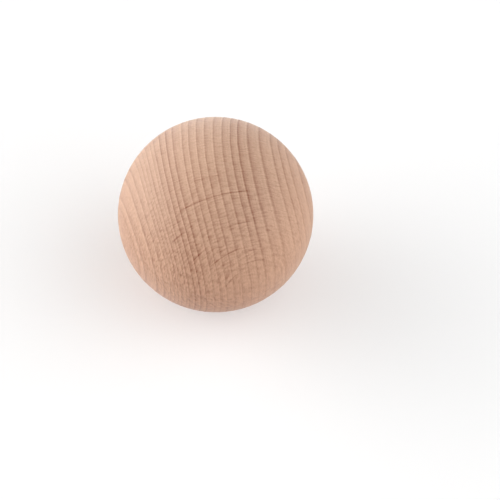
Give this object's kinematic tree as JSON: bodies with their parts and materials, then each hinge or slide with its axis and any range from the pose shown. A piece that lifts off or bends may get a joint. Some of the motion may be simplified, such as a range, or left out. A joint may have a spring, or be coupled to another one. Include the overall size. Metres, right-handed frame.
{
  "type": "wooden ball",
  "caption": "Solid turned ball of raw, finely sanded beech, with its grain running along the turning axis.",
  "frame": {"origin": "centre of the ball", "axes": "+Z along the turning axis, which the wood's fibres follow to within about 3 degrees; +X towards the side where the heart of the log was, so the growth rings bulge towards -X"},
  "size_m": [0.06, 0.06, 0.06],
  "materials": {
    "beech": "raw, sanded smooth, matt"
  },
  "bodies": {
    "root": {"ball": "beech"}
  },
  "joints": []
}
